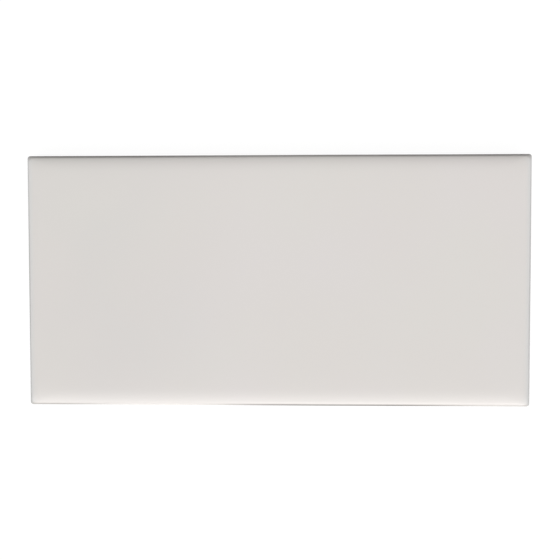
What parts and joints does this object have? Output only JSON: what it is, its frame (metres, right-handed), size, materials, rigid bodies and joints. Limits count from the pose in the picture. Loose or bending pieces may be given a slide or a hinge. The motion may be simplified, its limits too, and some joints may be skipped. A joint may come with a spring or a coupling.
{
  "type": "ceramic wall tile",
  "caption": "Oblong glazed wall tile with a flat gloss face, soft cushion edges, plumb sides and a keyed back of shallow pockets.",
  "frame": {"origin": "centre of the back's resting plane", "axes": "+X along the length, +Y along the width, +Z out of the glazed face"},
  "size_m": [0.15, 0.075, 0.008],
  "materials": {
    "glaze": "glossy off-white glaze over a fired white body, bare on the sides and the back"
  },
  "bodies": {
    "root": {"tile": "glaze"}
  },
  "joints": []
}
